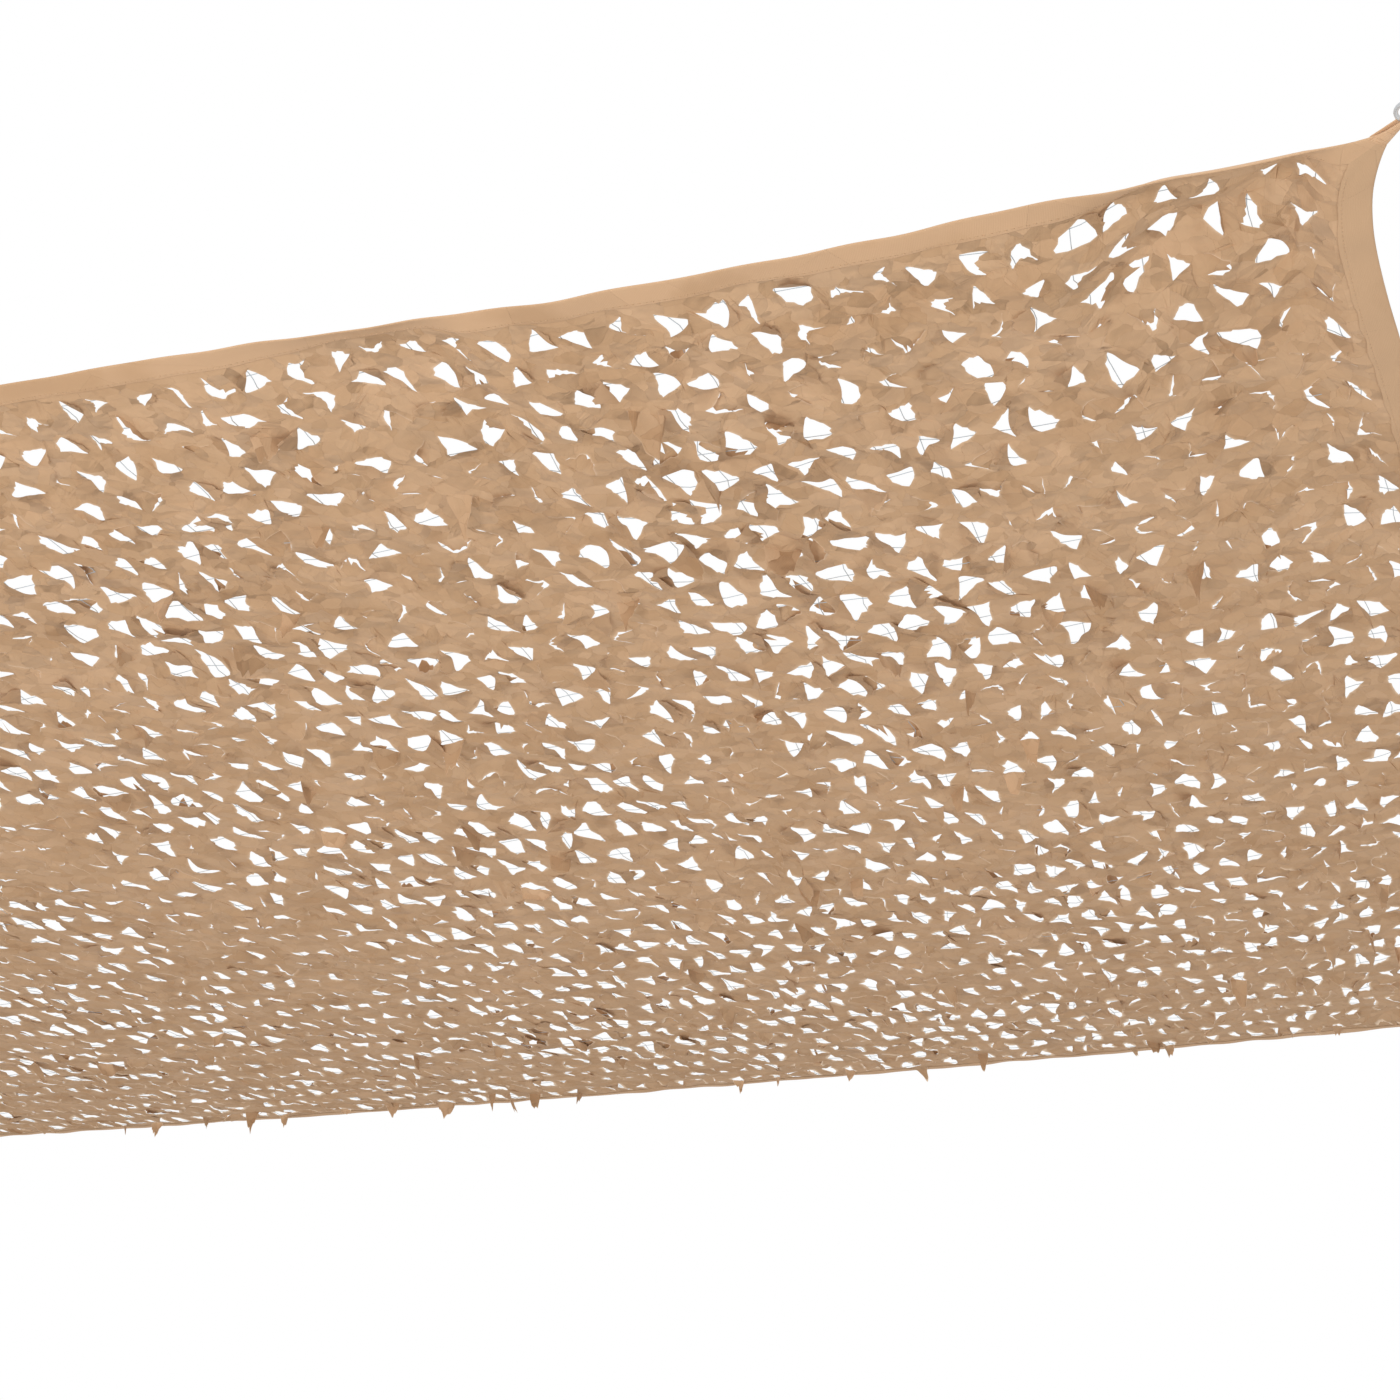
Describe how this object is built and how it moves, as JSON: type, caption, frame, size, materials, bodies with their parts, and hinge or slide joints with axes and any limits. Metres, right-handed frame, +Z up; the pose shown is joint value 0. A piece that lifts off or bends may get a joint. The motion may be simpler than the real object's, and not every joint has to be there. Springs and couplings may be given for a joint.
{
  "type": "shade sail",
  "caption": "Rectangular leaf-cut sunshade sail of tan cloth, hung flat from a ring at each drawn-out corner, with folded tape binding round its edges.",
  "frame": {"origin": "The middle of the box of the whole hung sail, rings included.", "axes": "+X along the long sides, towards the right corners; +Y from the near long side to the far one; +Z up, the sail hanging level with its belly below the rings."},
  "size_m": [4.0514, 3.0534, 0.1068],
  "materials": {
    "leaf_cut_cloth": "thin plain-woven polyester, die cut into leaf-shaped tongues, matt",
    "binding_tape": "plain-woven polyester tape, folded and sewn, matt",
    "webbing": "narrow ribbed polyester webbing",
    "steel": "plain bright stainless wire"
  },
  "bodies": {
    "root": {"leaf_cut_cloth": "leaf_cut_cloth", "binding_near": "binding_tape", "binding_right": "binding_tape", "binding_far": "binding_tape", "binding_left": "binding_tape", "corner_tab_near_left": "webbing", "corner_tab_near_right": "webbing", "corner_tab_far_left": "webbing", "corner_tab_far_right": "webbing", "corner_ring_near_left": "steel", "corner_ring_near_right": "steel", "corner_ring_far_left": "steel", "corner_ring_far_right": "steel"}
  },
  "joints": []
}
